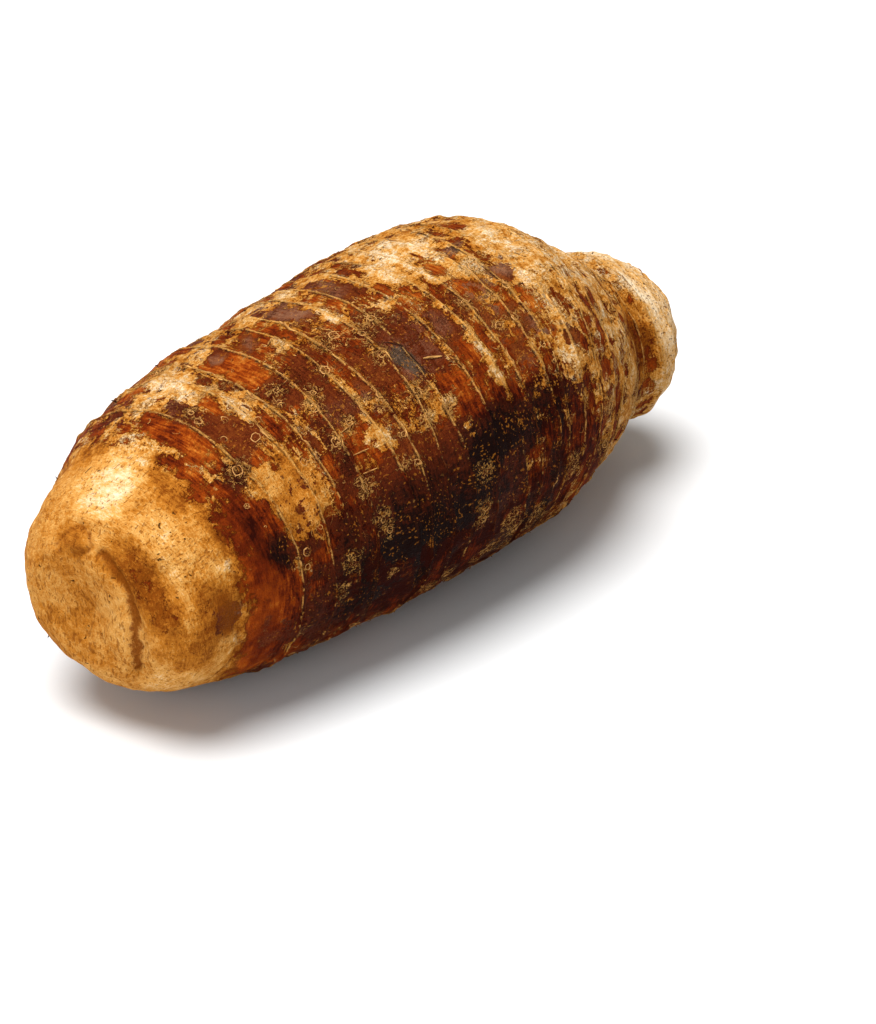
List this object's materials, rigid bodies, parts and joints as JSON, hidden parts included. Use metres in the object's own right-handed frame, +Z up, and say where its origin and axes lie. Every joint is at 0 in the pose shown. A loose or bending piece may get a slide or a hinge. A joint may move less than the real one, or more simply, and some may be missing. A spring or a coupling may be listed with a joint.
{
  "type": "malanga corm",
  "caption": "Whole malanga corm lying on its belly: barrel-shaped, ringed with leaf scars and root fibres, with a bare lobed butt and a domed crown",
  "frame": {"origin": "on the ground, under the middle of the corm's bounding box", "axes": "+X runs along the corm from the bare butt to the crown, +Y is its far side, +Z is up"},
  "size_m": [0.2522, 0.1068, 0.1007],
  "materials": {
    "corm_skin": "corky, fibrous bark-like skin in tan, rust and dark brown"
  },
  "bodies": {
    "root": {"corm": "corm_skin"}
  },
  "joints": []
}
